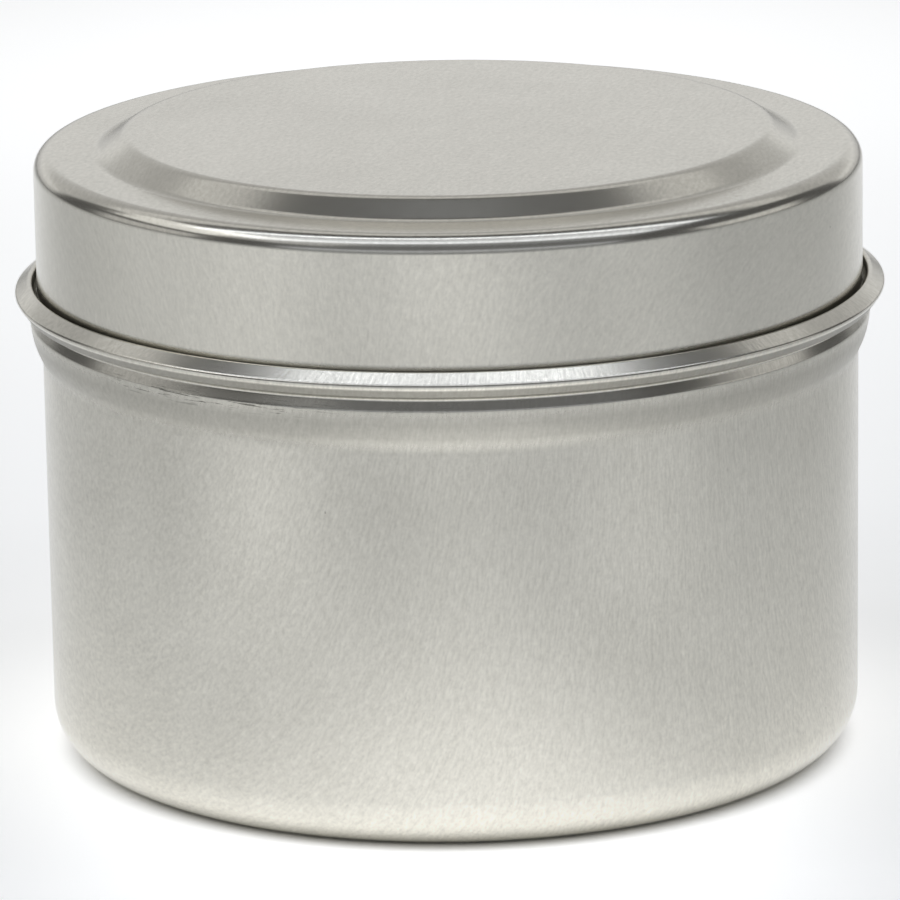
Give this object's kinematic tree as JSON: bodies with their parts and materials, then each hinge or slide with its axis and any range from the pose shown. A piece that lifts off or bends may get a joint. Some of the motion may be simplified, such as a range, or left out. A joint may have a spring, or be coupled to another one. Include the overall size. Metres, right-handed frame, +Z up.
{
  "type": "candle tin",
  "caption": "Round seamless tinplate candle tin with a ledge bead below the neck and a slip-on lid that lifts off; the lid has a raised centre panel.",
  "frame": {"origin": "middle of the base, on the plane that the tin stands on", "axes": "+Z up along the tin's axis of revolution, the way the lid lifts off; X and Y are arbitrary across the tin"},
  "size_m": [0.0826, 0.0826, 0.0599],
  "materials": {
    "body_tinplate": "satin bare tinplate with a fine rolling grain",
    "lid_tinplate": "satin bare tinplate with a fine rolling grain"
  },
  "bodies": {
    "body": {"tin_body": "body_tinplate"},
    "cover": {"lid": "lid_tinplate"}
  },
  "joints": [
    {"name": "lid_lift", "type": "slide", "parent": "body", "child": "cover", "axis": [0, 0, 1], "range_m": [0, 0.07]}
  ]
}
